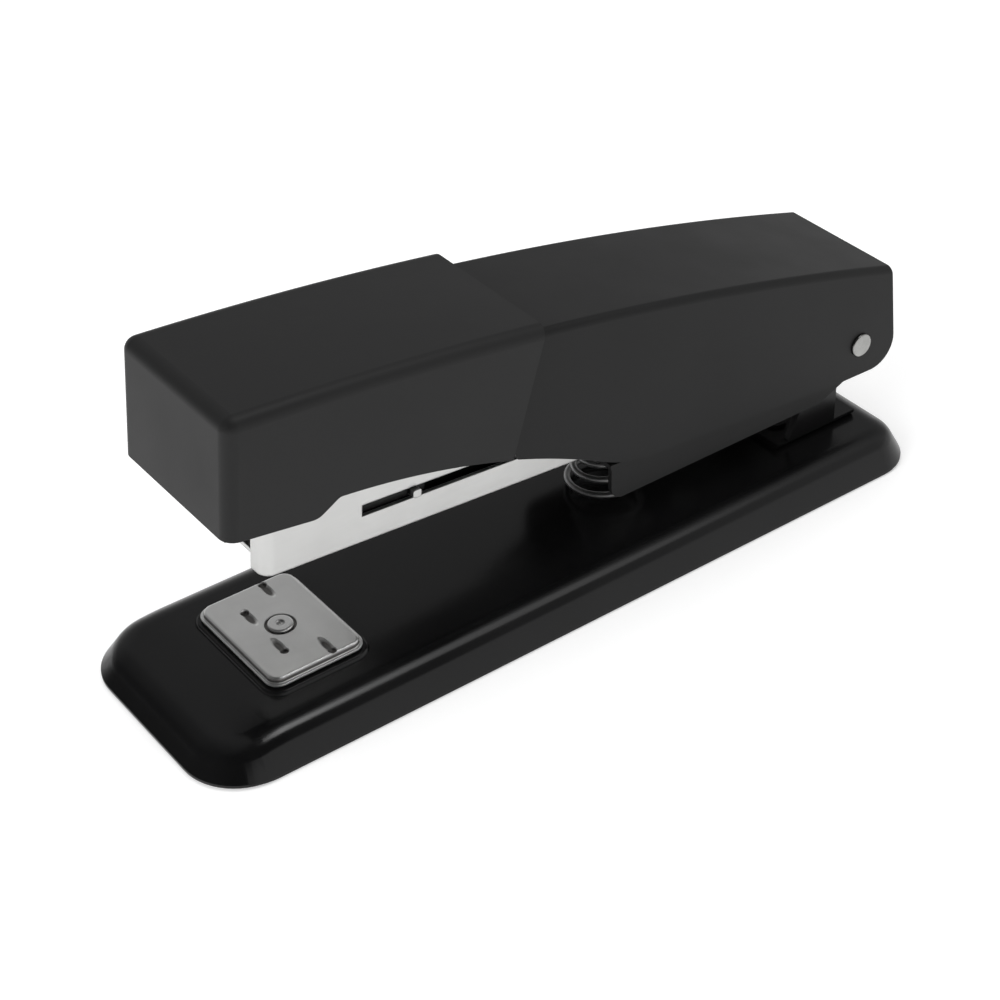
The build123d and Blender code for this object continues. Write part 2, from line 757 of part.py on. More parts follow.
with BuildPart() as handle_arm:
    arm_front = handle_setback - cap_front_run
    arm_roof_front = roof_point(arm_front)
    seam_edge = arch_point(tuck - seam_low_run)
    with BuildSketch(Plane.XZ):
        with BuildLine():
            ThreePointArc(arm_roof_front, roof_point(-middle_run), from_hinge(heel_run, heel_rise))
            Polyline(
                from_hinge(heel_run, heel_rise),
                from_hinge(heel_overhang, -heel_drop),
                from_hinge(-heel_flat, tuck / 8 - heel_drop),
                arch_point(-skirt_run),
            )
            ThreePointArc(arch_point(-skirt_run), arch_point(-(skirt_run + seam_low_run) / 2), seam_edge)
            Polyline(
                seam_edge,
                (seam_edge[0] - tuck, seam_edge[1] + 2 * tuck),
                (arm_roof_front[0], arch_point(-cap_step_run)[1] + 2 * tuck),
                arm_roof_front,
            )
        make_face()
        fillet(vertices().sort_by_distance(from_hinge(heel_overhang, -heel_drop))[0], heel_radius)
        fillet(vertices().sort_by_distance(arch_point(-skirt_run))[0], skirt_blend)
    extrude(amount=handle_half, both=True)
    roof_x_middle, roof_z_middle = roof_point(-middle_run)
    roof_edges = [
        handle_arm.edges().sort_by_distance((roof_x_middle, y, roof_z_middle))[0]
        for y in (-handle_half, handle_half)
    ]
    fillet(roof_edges, handle_bend)
    with BuildSketch(Plane.XZ):
        with BuildLine():
            under_front = roof_point(arm_front - tuck, -handle_sheet)
            under_rear = roof_point(heel_overhang + tuck, -handle_sheet)
            ThreePointArc(under_front, roof_point(-middle_run, -handle_sheet), under_rear)
            Polyline(under_rear, (under_rear[0], 0), (under_front[0], 0), under_front)
        make_face()
    extrude(amount=handle_half - handle_sheet, both=True, mode=Mode.SUBTRACT)
    cut_pin_hole()
    cut_rivet_holes(blade_rivets, blade_spots, 4 * handle_sheet)
    cut_rivet_holes(leaf_rivet_plane, leaf_spots, 4 * handle_sheet)
handle_arm.part.label = "handle_arm"

with BuildPart() as front_cap:
    cap_half = handle_half + seat_gap + cap_wall
    cap_lift = seat_gap + cap_roof
    cap_foot = from_hinge(-cap_front_run, cap_front_rise)
    cap_brow = roof_point(cap_front_lean - cap_front_run, cap_lift)
    cap_seam_top = roof_point(-seam_top_run, cap_lift)
    cap_seam_low = arch_point(-seam_low_run)
    cap_step = from_hinge(-cap_step_run, cap_step_rise)
    cap_chin = from_hinge(-cap_chin_run, cap_chin_rise)
    roof_middle = roof_point(-(cap_front_run + seam_top_run) / 2, cap_lift)
    with BuildSketch(Plane.XZ):
        with BuildLine():
            Line(cap_foot, cap_brow)
            ThreePointArc(cap_brow, roof_middle, cap_seam_top)
            Line(cap_seam_top, cap_seam_low)
            ThreePointArc(cap_seam_low, arch_point(-(seam_low_run + cap_step_run) / 2), cap_step)
            Polyline(cap_step, cap_chin, cap_foot)
        make_face()
        fillet(vertices().sort_by_distance(cap_chin)[0], chin_radius)
        fillet(vertices().sort_by_distance(cap_step)[0], step_radius)
    extrude(amount=cap_half, both=True)
    face_middle = ((cap_foot[0] + cap_brow[0]) / 2, (cap_foot[1] + cap_brow[1]) / 2)
    soft_edges = [front_cap.edges().sort_by_distance((cap_brow[0], 0, cap_brow[1]))[0]]
    for y in (-cap_half, cap_half):
        soft_edges.append(front_cap.edges().sort_by_distance((face_middle[0], y, face_middle[1]))[0])
        soft_edges.append(front_cap.edges().sort_by_distance((roof_middle[0], y, roof_middle[1]))[0])
    fillet(soft_edges, cap_edge)
    inner_foot = (cap_foot[0] + cap_front_wall, 0)
    inner_brow = roof_point(cap_front_lean + cap_front_wall - cap_front_run, seat_gap)
    inner_rear = roof_point(-seam_top_run + 2 * tuck, seat_gap)
    with BuildSketch(Plane.XZ):
        with BuildLine():
            Polyline(inner_foot, (cap_foot[0] + cap_front_wall, cap_foot[1]), inner_brow)
            ThreePointArc(inner_brow, roof_point(-(cap_front_run + seam_top_run) / 2, seat_gap), inner_rear)
            Polyline(inner_rear, (inner_rear[0], 0), inner_foot)
        make_face()
    extrude(amount=handle_half + seat_gap, both=True, mode=Mode.SUBTRACT)
front_cap.part.label = "front_cap"

with BuildPart() as driver_blade:
    with BuildSketch(blade_side):
        draw_box(
            (-blade_run - blade_thickness / 2, -mag_drop - blade_overrun),
            (blade_thickness / 2 - blade_run, blade_height - blade_thickness / 2),
        )
    extrude(amount=blade_width / 2, both=True)
    with BuildSketch(Plane.XZ):
        foot_middle = (foot_front + foot_rear) / 2
        lower = -handle_sheet - blade_thickness
        with BuildLine():
            ThreePointArc(
                roof_point(foot_front, -handle_sheet),
                roof_point(foot_middle, -handle_sheet),
                roof_point(foot_rear, -handle_sheet),
            )
            Line(roof_point(foot_rear, -handle_sheet), roof_point(foot_rear, lower))
            ThreePointArc(
                roof_point(foot_rear, lower), roof_point(foot_middle, lower), roof_point(foot_front, lower)
            )
            Line(roof_point(foot_front, lower), roof_point(foot_front, -handle_sheet))
        make_face()
    extrude(amount=blade_width / 2, both=True)
    cut_rivet_holes(blade_rivets, blade_spots, 2 * blade_thickness)
driver_blade.part.label = "driver_blade"

with BuildPart() as driver_rivets:
    add_flush_rivets(blade_rivets, blade_spots, blade_thickness + handle_sheet)
driver_rivets.part.label = "driver_rivets"

with BuildPart() as handle_spring:
    leaf_start = roof_point(-leaf_foot_front, -handle_sheet)
    leaf_bend = roof_point(-leaf_foot_rear, -handle_sheet)
    leaf_top = mag_top + seat_gap + leaf_thickness
    leaf_tip = mag_side.from_local_coords((-leaf_tip_run, leaf_top, 0))
    leaf_middle = ((leaf_bend[0] + leaf_tip.X) / 2, (leaf_bend[1] + leaf_tip.Z) / 2)
    with BuildSketch(Plane.XZ):
        with BuildLine():
            foot = ThreePointArc(leaf_start, roof_point(-leaf_rivet_run, -handle_sheet), leaf_bend)
            fall = TangentArc(leaf_bend, leaf_middle, tangent=foot % 1)
            TangentArc(leaf_middle, (leaf_tip.X, leaf_tip.Z), tangent=fall % 1)
            offset(amount=leaf_thickness, side=Side.RIGHT)
        make_face()
    extrude(amount=leaf_width / 2, both=True)
    with BuildSketch(mag_side):
        draw_box((-leaf_tip_run - leaf_bar / 2, mag_top + seat_gap), (leaf_bar / 2 - leaf_tip_run, leaf_top))
    extrude(amount=mag_half, both=True)
    cut_rivet_holes(leaf_rivet_plane, leaf_spots, 2 * leaf_thickness)
handle_spring.part.label = "handle_spring"

with BuildPart() as leaf_rivets:
    add_flush_rivets(leaf_rivet_plane, leaf_spots, leaf_thickness + handle_sheet)
leaf_rivets.part.label = "leaf_rivets"

# The lift spring winds upwards inwards, from its wide foot on the base to the stud under the carrier
lift_low = base_top + lift_wire + lift_seat
lift_rim_run = lift_high_radius + lift_wire - lift_run
lift_ceiling = mag_side.from_local_coords((lift_rim_run, -mag_drop - carrier_sheet, 0)).Z
lift_high = lift_ceiling - lift_wire - 2 * lift_seat


def lift_point(turn):
    climb = turn / lift_turns
    radius = lift_high_radius + (lift_low_radius - lift_high_radius) * (1 - climb) ** lift_flare
    angle = 2 * pi * turn + lift_start
    return Vector(
        lift_x + radius * cos(angle), radius * sin(angle), lift_low + (lift_high - lift_low) * climb
    )


def lift_heading(turn):
    step = 0.0001
    before = max(turn - step, 0)
    after = min(turn + step, lift_turns)
    return (lift_point(after) - lift_point(before)).normalized()


def biarc_joint(start, start_way, end, end_way):
    span = end - start
    ways = start_way + end_way
    spread = 2 * (1 - start_way.dot(end_way))
    reach = (sqrt(span.dot(ways) ** 2 + spread * span.dot(span)) - span.dot(ways)) / spread
    return (start + start_way * reach + end - end_way * reach) * 0.5


lift_quarters = round(4 * lift_turns)
lift_tail = 2 * lift_wire

with BuildPart() as lift_spring:
    with BuildLine() as lift_path:
        lift_first = lift_point(0) - lift_heading(0) * lift_tail
        Line(lift_first, lift_point(0))
        for quarter in range(lift_quarters):
            start, end = lift_point(quarter / 4), lift_point((quarter + 1) / 4)
            start_way, end_way = lift_heading(quarter / 4), lift_heading((quarter + 1) / 4)
            joint = biarc_joint(start, start_way, end, end_way)
            TangentArc(start, joint, tangent=start_way)
            TangentArc(joint, end, tangent=-end_way, tangent_from_first=False)
        Line(lift_point(lift_turns), lift_point(lift_turns) + lift_heading(lift_turns) * lift_tail)
    with BuildSketch(Plane(lift_first, z_dir=lift_heading(0))):
        Circle(lift_wire)
    sweep(path=lift_path.line)
lift_spring.part.label = "lift_spring"

lift_samples = [lift_point(step / 48) for step in range(round(48 * lift_turns) + 1)]
lift_gap = min(
    (later - earlier).length
    for place, earlier in enumerate(lift_samples)
    for later in lift_samples[place + 24 :]
)
print(f"lift spring: least gap between turns {lift_gap - 2 * lift_wire:.2f} mm")

pieces = [
    base_plate,
    rubber_sole,
    hinge_bracket,
    bracket_rivets,
    hinge_pin,
    pin_spacers,
    anvil_plate,
    anvil_post,
    anvil_retainer,
    anvil_leaf,
    magazine_carrier,
    magazine_channel,
    carrier_rivets,
    spring_stud,
    staple_rail,
    staple_strip,
    pusher,
    rod_anchor,
    pusher_rod,
    pusher_spring,
    handle_spring,
    leaf_rivets,
    handle_arm,
    front_cap,
    driver_blade,
    driver_rivets,
    lift_spring,
]
os.makedirs("parts", exist_ok=True)
for piece in pieces:
    export_step(piece.part, f"parts/{piece.part.label}.step")
    box = piece.part.bounding_box()
    print(piece.part.label, len(piece.part.solids()), round(piece.part.volume, 1), box.min, box.max)
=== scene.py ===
import json
from math import cos, pi, radians, sin

import bmesh
import bpy
from mathutils import Matrix, Vector


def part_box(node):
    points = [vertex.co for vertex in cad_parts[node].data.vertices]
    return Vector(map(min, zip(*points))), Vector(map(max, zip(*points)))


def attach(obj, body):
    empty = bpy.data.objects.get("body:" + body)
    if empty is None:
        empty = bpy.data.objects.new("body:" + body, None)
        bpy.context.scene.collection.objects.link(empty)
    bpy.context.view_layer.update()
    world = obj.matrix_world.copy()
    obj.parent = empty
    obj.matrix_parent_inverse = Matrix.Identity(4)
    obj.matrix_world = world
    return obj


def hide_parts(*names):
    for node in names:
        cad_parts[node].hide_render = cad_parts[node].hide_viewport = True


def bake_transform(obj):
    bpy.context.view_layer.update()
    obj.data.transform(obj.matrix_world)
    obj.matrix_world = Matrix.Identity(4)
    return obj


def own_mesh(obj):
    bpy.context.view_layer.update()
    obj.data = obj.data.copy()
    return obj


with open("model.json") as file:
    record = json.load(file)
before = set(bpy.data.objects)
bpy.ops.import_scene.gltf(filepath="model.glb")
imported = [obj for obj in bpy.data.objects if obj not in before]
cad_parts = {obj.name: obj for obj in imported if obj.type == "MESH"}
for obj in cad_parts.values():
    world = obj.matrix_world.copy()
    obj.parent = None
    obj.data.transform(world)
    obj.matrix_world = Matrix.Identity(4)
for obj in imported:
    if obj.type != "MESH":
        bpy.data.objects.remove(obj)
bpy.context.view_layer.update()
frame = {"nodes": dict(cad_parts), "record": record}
nodes = frame["nodes"]
scene = bpy.context.scene
magazineTilt = radians(4.09)  # slope of the channel and what lies in it
mergeGap = 0.000002
print("stapler: frame loaded with", len(nodes), "pieces")


# materials

noiseSpan = (0.3, 0.7)  # most of a noise's values lie here
flatLean = 0.999  # a soft normal on a flat face, less rounding


def startFinish(name):
    finish = bpy.data.materials.new(name)
    finish.use_nodes = True
    tree = finish.node_tree
    return finish, tree, tree.nodes["Principled BSDF"]


def addNode(tree, kind, sockets=None, **settings):
    node = tree.nodes.new(kind)
    for key, value in settings.items():
        setattr(node, key, value)
    for key, value in (sockets or {}).items():
        node.inputs[key].default_value = value
    return node


def placeOn(tree, stretch=(1, 1, 1), turn=(0, 0, 0)):
    where = addNode(tree, "ShaderNodeTexCoord")
    mapping = addNode(tree, "ShaderNodeMapping", {"Scale": stretch, "Rotation": turn})
    tree.links.new(where.outputs["Object"], mapping.inputs["Vector"])
    return mapping.outputs["Vector"]


def addNoise(tree, spot, scale, detail=3.0, rough=0.55):
    noise = addNode(tree, "ShaderNodeTexNoise", {"Scale": scale, "Detail": detail, "Roughness": rough})
    tree.links.new(spot, noise.inputs["Vector"])
    return noise.outputs["Fac"]


def addRange(tree, value, low, high, toLow, toHigh):
    spread = addNode(
        tree,
        "ShaderNodeMapRange",
        {"From Min": low, "From Max": high, "To Min": toLow, "To Max": toHigh},
    )
    tree.links.new(value, spread.inputs["Value"])
    return spread.outputs["Result"]


def addTint(tree, value, dark, light):
    ramp = addNode(tree, "ShaderNodeValToRGB")
    for edge, spot, colour in zip(ramp.color_ramp.elements, noiseSpan, (dark, light)):
        edge.position = spot
        edge.color = (*colour, 1)
    tree.links.new(value, ramp.inputs["Fac"])
    return ramp.outputs["Color"]


def addBump(tree, height, depth, under=None):
    bump = addNode(tree, "ShaderNodeBump", {"Strength": 1, "Distance": depth})
    tree.links.new(height, bump.inputs["Height"])
    if under is not None:
        tree.links.new(under, bump.inputs["Normal"])
    return bump.outputs["Normal"]


def softEdges(tree, radius):
    bevel = addNode(tree, "ShaderNodeBevel", {"Radius": radius}, samples=6)
    return bevel.outputs["Normal"]


def edgeShare(tree, softNormal, edgeLean):
    shape = addNode(tree, "ShaderNodeNewGeometry")
    lean = addNode(tree, "ShaderNodeVectorMath", operation="DOT_PRODUCT")
    tree.links.new(softNormal, lean.inputs[0])
    tree.links.new(shape.outputs["Normal"], lean.inputs[1])
    return addRange(tree, lean.outputs["Value"], flatLean, edgeLean, 0, 1)


def mixColours(tree, share, first, second):
    mix = addNode(tree, "ShaderNodeMix", data_type="RGBA")
    tree.links.new(share, mix.inputs["Factor"])
    for value, socket in ((first, mix.inputs["A"]), (second, mix.inputs["B"])):
        if isinstance(value, tuple):
            socket.default_value = (*value, 1)
        else:
            tree.links.new(value, socket)
    return mix.outputs["Result"]


def blackCoat(name, coat):
    finish, tree, shader = startFinish(name)
    spot = placeOn(tree)
    broad = addNoise(tree, spot, coat["cloudScale"])
    grain = addNoise(tree, spot, coat["grainScale"], detail=2, rough=0.6)
    body = addTint(tree, broad, coat["dark"], coat["light"])
    rubbed = edgeShare(tree, softEdges(tree, coat["edgeRadius"]), coat["edgeStart"])
    tree.links.new(mixColours(tree, rubbed, body, coat["rubbed"]), shader.inputs["Base Color"])
    tree.links.new(addRange(tree, broad, *noiseSpan, *coat["roughness"]), shader.inputs["Roughness"])
    tree.links.new(addBump(tree, grain, coat["grainDepth"]), shader.inputs["Normal"])
    shader.inputs["Specular IOR Level"].default_value = coat["shine"]
    return finish


def axisOf(tree, letter, turn=(0, 0, 0)):
    split = addNode(tree, "ShaderNodeSeparateXYZ")
    tree.links.new(placeOn(tree, turn=turn), split.inputs["Vector"])
    return split.outputs[letter]


def multiply(tree, first, second):
    product = addNode(tree, "ShaderNodeMath", operation="MULTIPLY")
    tree.links.new(first, product.inputs[0])
    tree.links.new(second, product.inputs[1])
    return product.outputs[0]


def brightMetal(name, metal, shadeMask=None):
    finish, tree, shader = startFinish(name)
    grainWay = placeOn(tree, metal["stretch"], metal["turn"])
    lines = addNoise(tree, grainWay, metal["lineScale"], rough=0.6)
    cloud = addNoise(tree, placeOn(tree), metal["cloudScale"], detail=4)
    plate = addTint(tree, cloud, metal["dark"], metal["light"])
    softNormal = softEdges(tree, metal["edgeRadius"])
    # painted shade: where the mask is 1 the plate colour gives way to the metal's dark shade colour
    if shadeMask is not None:
        plate = mixColours(tree, shadeMask(tree), plate, metal["paintedShade"])
    tree.links.new(plate, shader.inputs["Base Color"])
    tree.links.new(addRange(tree, lines, *noiseSpan, *metal["roughness"]), shader.inputs["Roughness"])
    tree.links.new(addBump(tree, lines, metal["lineDepth"], softNormal), shader.inputs["Normal"])
    shader.inputs["Metallic"].default_value = 1
    return finish


# object-space bounds of the painted shade on the metal parts
shadeZones = {
    "channelSide": (0.0070, 0.0074),  # away from the middle
    "channelLow": (0.02170, 0.02190),  # across the magazine's slope
    "channelRear": (-0.035, -0.028),
    "railRear": (-0.046, -0.044),
    "grooveLow": (0.00790, 0.00800),
    "grooveHigh": (0.00845, 0.00862),
}


# painted shade: 1 within the channel's width and 0 beyond it, so parts inside the magazine get their
# shade colour
def slotShade(tree):
    away = addNode(tree, "ShaderNodeMath", operation="ABSOLUTE")
    tree.links.new(axisOf(tree, "Y"), away.inputs[0])
    return addRange(tree, away.outputs[0], *shadeZones["channelSide"], 1, 0)


# painted shade: the rail darkens behind its front end, inside the magazine
def railRearShade(tree):
    return addRange(tree, axisOf(tree, "X"), *shadeZones["railRear"], 0, 1)


# painted shade: the magazine's lower face behind the anvil, within the channel's width, gets a dark
# colour for the shade and dark reflection beneath it
def underChannelShade(tree):
    height = axisOf(tree, "Z", (0, -magazineTilt, 0))
    lowFace = addRange(tree, height, *shadeZones["channelLow"], 1, 0)
    behindAnvil = addRange(tree, axisOf(tree, "X"), *shadeZones["channelRear"], 0, 1)
    return multiply(tree, multiply(tree, lowFace, behindAnvil), slotShade(tree))


# painted shade: the anvil between its flange height and its top face, its side walls and groove floors,
# gets a dark colour
def anvilWallShade(tree):
    height = axisOf(tree, "Z")
    aboveFlange = addRange(tree, height, *shadeZones["grooveLow"], 0, 1)
    belowTop = addRange(tree, height, *shadeZones["grooveHigh"], 1, 0)
    return multiply(tree, aboveFlange, belowTop)


enamel = {
    "dark": (0.0034, 0.0034, 0.0036),
    "light": (0.0052, 0.0052, 0.0054),
    "rubbed": (0.006, 0.006, 0.006),
    "cloudScale": 45,
    "grainScale": 420,
    "grainDepth": 0.0000015,
    "edgeRadius": 0.0005,
    "edgeStart": 0.80,
    "roughness": (0.17, 0.23),
    "shine": 0.34,
}
paint = {
    "dark": (0.0085, 0.0085, 0.0087),
    "light": (0.0110, 0.0110, 0.0112),
    "rubbed": (0.0105, 0.0105, 0.0105),
    "cloudScale": 55,
    "grainScale": 2600,
    "grainDepth": 0.000006,
    "edgeRadius": 0.0007,
    "edgeStart": 0.78,
    "roughness": (0.42, 0.50),
    "shine": 0.23,
}
moulding = {
    "dark": (0.0105, 0.0105, 0.0107),
    "light": (0.0132, 0.0132, 0.0134),
    "rubbed": (0.0115, 0.0115, 0.0115),
    "cloudScale": 50,
    "grainScale": 2200,
    "grainDepth": 0.000008,
    "edgeRadius": 0.0007,
    "edgeStart": 0.78,
    "roughness": (0.46, 0.54),
    "shine": 0.30,
}
rubber = {
    "dark": (0.012, 0.012, 0.012),
    "light": (0.018, 0.018, 0.018),
    "rubbed": (0.024, 0.024, 0.023),
    "cloudScale": 90,
    "grainScale": 3400,
    "grainDepth": 0.00002,
    "edgeRadius": 0.0003,
    "edgeStart": 0.7,
    "roughness": (0.7, 0.85),
    "shine": 0.25,
}
nickel = {
    "dark": (0.66, 0.66, 0.65),
    "light": (0.73, 0.73, 0.72),
    # painted shade colour for the magazine's underside
    "paintedShade": (0.08, 0.08, 0.079),
    "cloudScale": 60,
    "stretch": (0.06, 1, 1),
    "turn": (0, magazineTilt, 0),
    "lineScale": 3500,
    "lineDepth": 0.0000008,
    "roughness": (0.34, 0.44),
    "edgeRadius": 0.0003,
}
anvilPlating = {
    "dark": (0.84, 0.84, 0.83),
    "light": (0.92, 0.92, 0.91),
    # painted shade colour for the anvil's walls and grooves
    "paintedShade": (0.16, 0.155, 0.15),
    "cloudScale": 160,
    "stretch": (1, 0.08, 1),
    "turn": (0, 0, 0),
    "lineScale": 2600,
    "lineDepth": 0.0000012,
    "roughness": (0.30, 0.42),
    "edgeRadius": 0.00025,
}
pinPlating = {
    "dark": (0.36, 0.36, 0.35),
    "light": (0.46, 0.46, 0.45),
    "cloudScale": 300,
    "stretch": (1, 1, 1),
    "turn": (0, 0, 0),
    "lineScale": 1800,
    "lineDepth": 0.000002,
    "roughness": (0.25, 0.4),
    "edgeRadius": 0.0003,
}
drawnWire = {
    "dark": (0.28, 0.28, 0.28),
    "light": (0.38, 0.38, 0.38),
    "cloudScale": 500,
    "stretch": (1, 1, 1),
    "turn": (0, 0, 0),
    "lineScale": 2400,
    "lineDepth": 0.000001,
    "roughness": (0.38, 0.5),
    "edgeRadius": 0.0001,
}
pressedSteel = {
    "dark": (0.62, 0.62, 0.61),
    "light": (0.72, 0.72, 0.71),
    # painted shade: colour of the pusher's body inside the slot, the lug beyond it stays bright
    "paintedShade": (0.030, 0.030, 0.030),
    "cloudScale": 200,
    "stretch": (0.08, 1, 1),
    "turn": (0, magazineTilt, 0),
    "lineScale": 2600,
    "lineDepth": 0.0000015,
    "roughness": (0.3, 0.45),
    "edgeRadius": 0.00025,
}
railSteel = {
    "dark": (0.50, 0.50, 0.49),
    "light": (0.60, 0.60, 0.59),
    # painted shade colour for the rail inside the magazine
    "paintedShade": (0.022, 0.022, 0.022),
    "cloudScale": 200,
    "stretch": (0.08, 1, 1),
    "turn": (0, magazineTilt, 0),
    "lineScale": 2600,
    "lineDepth": 0.0000015,
    "roughness": (0.35, 0.5),
    "edgeRadius": 0.0002,
}
zincWire = {
    "dark": (0.60, 0.60, 0.60),
    "light": (0.72, 0.72, 0.72),
    "cloudScale": 700,
    "stretch": (1, 0.1, 1),
    "turn": (0, 0, 0),
    "lineScale": 5000,
    "lineDepth": 0.0000008,
    "roughness": (0.22, 0.34),
    "edgeRadius": 0.00008,
}

finishes = {
    "gloss_enamel": blackCoat("glossEnamel", enamel),
    "black_paint": blackCoat("satinPaint", paint),
    "black_plastic": blackCoat("capMoulding", moulding),
    "sole_rubber": blackCoat("soleRubber", rubber),
    "nickel_plate": brightMetal("nickelPlate", nickel, underChannelShade),
    "anvil_steel": brightMetal("anvilPlating", anvilPlating, anvilWallShade),
    "pin_steel": brightMetal("pinPlating", pinPlating),
    "spring_steel": brightMetal("drawnWire", drawnWire),
    # the pusher gets painted shade inside the slot
    "pusher_steel": brightMetal("pressedSteel", pressedSteel, slotShade),
    "staple_wire": brightMetal("zincWire", zincWire),
}
for row in frame["record"]["subparts"]:
    for place in nodes[row["node"]].material_slots:
        place.material = finishes[row["material_slot"]]
# the rail gets painted shade behind its front end
for place in nodes["staple_rail"].material_slots:
    place.material = brightMetal("railSteel", railSteel, railRearShade)
print("stapler: materials set")


# pieces made here

def closeMesh(bm, name, finishName):
    bmesh.ops.remove_doubles(bm, verts=bm.verts, dist=mergeGap)
    bmesh.ops.recalc_face_normals(bm, faces=bm.faces)
    mesh = bpy.data.meshes.new(name)
    bm.to_mesh(mesh)
    bm.free()
    mesh.materials.append(finishes[finishName])
    piece = bpy.data.objects.new(name, mesh)
    scene.collection.objects.link(piece)
    return piece


def smoothFaces(piece, degrees):
    for face in piece.data.polygons:
        face.use_smooth = True
    bpy.context.view_layer.objects.active = piece
    piece.select_set(True)
    bpy.ops.object.shade_smooth_by_angle(angle=radians(degrees))
    piece.select_set(False)


def evenNormals(piece):
    weighted = piece.modifiers.new("evenNormals", "WEIGHTED_NORMAL")
    weighted.keep_sharp = True


def vertsOf(geom):
    return [item for item in geom if isinstance(item, bmesh.types.BMVert)]


def roundEdges(bm, edges, radius, steps):
    bmesh.ops.bevel(
        bm, geom=edges, offset=radius, segments=steps, profile=0.5, affect="EDGES", material=-1
    )


def spinOn(bm, corner, centre, degrees, steps):
    spun = bmesh.ops.spin(
        bm,
        geom=[corner],
        cent=(centre[0], 0, centre[1]),
        axis=(0, 1, 0),
        dvec=(0, 0, 0),
        angle=radians(degrees),
        steps=steps,
    )
    return vertsOf(spun["geom_last"])[0]


def runOn(bm, corner, spot):
    grown = bmesh.ops.extrude_vert_indiv(bm, verts=[corner])
    grown["verts"][0].co = (spot[0], 0, spot[1])
    return grown["verts"][0]


shellFit = {
    "join": 0.00001,
    "roof": 0.00005,
    "sideways": 0.5,
    "sharp": 1,  # radians between two faces at a bend
}


def drawSide(bm, shell):
    corner = bm.verts.new((shell["start"][0], 0, shell["start"][1]))
    for way, spot, *sweep in shell["outline"]:
        corner = runOn(bm, corner, spot) if way == "line" else spinOn(bm, corner, spot, *sweep)
    bmesh.ops.remove_doubles(bm, verts=bm.verts, dist=shellFit["join"])
    bmesh.ops.edgeloop_fill(bm, edges=bm.edges)
    bmesh.ops.translate(bm, verts=bm.verts, vec=(0, -shell["half"], 0))
    grown = bmesh.ops.extrude_face_region(bm, geom=bm.faces[:])
    bmesh.ops.translate(bm, verts=vertsOf(grown["geom"]), vec=(0, 2 * shell["half"], 0))
    bmesh.ops.recalc_face_normals(bm, faces=bm.faces)


def onRoof(shell, spot):
    reach = Vector((spot.x - shell["roof"][0], spot.z - shell["roof"][1])).length
    return abs(reach - shell["roofRadius"]) < shellFit["roof"]


def foldShell(shell, name, finishName):
    bm = bmesh.new()
    drawSide(bm, shell)
    front = shell["start"][0] + shell["frontDepth"]
    for face in bm.faces:
        spot = face.calc_center_median()
        kept = abs(face.normal.y) > shellFit["sideways"] or onRoof(shell, spot) or spot.x < front
        face.material_index = 0 if kept else 1  # 1 marks the open sides
    bends = [
        edge for edge in bm.edges
        if all(face.material_index == 0 for face in edge.link_faces)
        and edge.calc_face_angle() > shellFit["sharp"]
    ]
    roundEdges(bm, bends, shell["bend"], shell["bendSteps"])
    bmesh.ops.delete(bm, geom=[face for face in bm.faces if face.material_index == 1], context="FACES")
    bmesh.ops.recalc_face_normals(bm, faces=bm.faces)
    bmesh.ops.solidify(bm, geom=bm.faces[:], thickness=shell["sheet"])
    piece = closeMesh(bm, name, finishName)
    smoothFaces(piece, shell["smooth"])
    evenNormals(piece)
    return piece


armSheet = {
    "half": 0.0131,
    "sheet": 0.0009,
    "bend": 0.0013,
    "bendSteps": 6,
    "smooth": 34,
    "roof": (-0.097313, -0.554423),
    "roofRadius": 0.614618,
    "frontDepth": -0.001,
    "start": (-0.0591, 0.059006),
    "outline": [
        ("turn", (-0.097313, -0.554423), 12.330, 48),  # roof
        ("line", (0.072845, 0.022575)),  # heel
        ("turn", (0.067888, 0.021927), 98.72, 10),
        ("line", (0.0600, 0.0171)),
        ("line", (0.016672, 0.020481)),  # skirt
        ("turn", (0.018539, 0.044408), 24.33, 10),
        ("turn", (-0.059849, -0.098228), -8.00, 10),  # arch
        ("line", (-0.0130, 0.037395)),
        ("line", (-0.0591, 0.0456)),
        ("line", (-0.0591, 0.059006)),
    ],
}
capSkin = {
    "half": 0.0151,
    "sheet": 0.0016,
    "bend": 0.0022,
    "bendSteps": 8,
    "smooth": 34,
    "roof": (-0.097313, -0.554423),
    "roofRadius": 0.616318,
    "frontDepth": 0.0005,
    "start": (-0.06235, 0.060903),
    "outline": [
        ("turn", (-0.097313, -0.554423), 5.2493, 24),  # roof
        ("line", (-0.0130, 0.033481)),  # seam
        ("turn", (-0.059849, -0.097128), -13.262, 16),  # arch
        ("turn", (-0.044377, 0.039255), -36.47, 5),  # step
        ("line", (-0.047695, 0.039072)),
        ("turn", (-0.049194, 0.041671), 38.4, 6),  # chin
        ("line", (-0.0641, 0.04085)),
        ("line", (-0.06235, 0.060903)),
    ],
}

armShell = foldShell(armSheet, "armShell", "black_paint")
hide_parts("handle_arm")
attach(armShell, "handle")
capShell = foldShell(capSkin, "capShell", "black_plastic")
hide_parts("front_cap")
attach(capShell, "handle")
print("stapler: arm and cap folded")

pressing = {
    "length": 0.1469,
    "width": 0.0436,
    "rimLow": 0.0005,
    "rimHigh": 0.0010,
    "noseCorner": 0.0100,
    "heelCorner": 0.0085,
    "cornerSteps": 14,
    "wallIn": 0.00181,
    "wallRise": 0.00327,
    "shoulder": [(0.0036, 61, 30, 5), (0.0064, 30, 0, 6)],  # radius, lean from and to, steps
    "noseLength": 0.0150,
    "noseDrop": 0.0030,
    "noseCuts": 10,
    "sheet": 0.0012,
    "smooth": 34,
}
anvilPad = {
    "x": -0.04819,
    "length": 0.0197,
    "width": 0.0255,
    "low": 0.0059,
    "foot": 0.0065,
    "corner": 0.0035,
    "cornerSteps": 8,
    "steps": [(0.00030, 0.00045), (0.00010, 0.00011), (0.00014, 0.00004)],  # inward and up
}
closeBy = 0.0000001


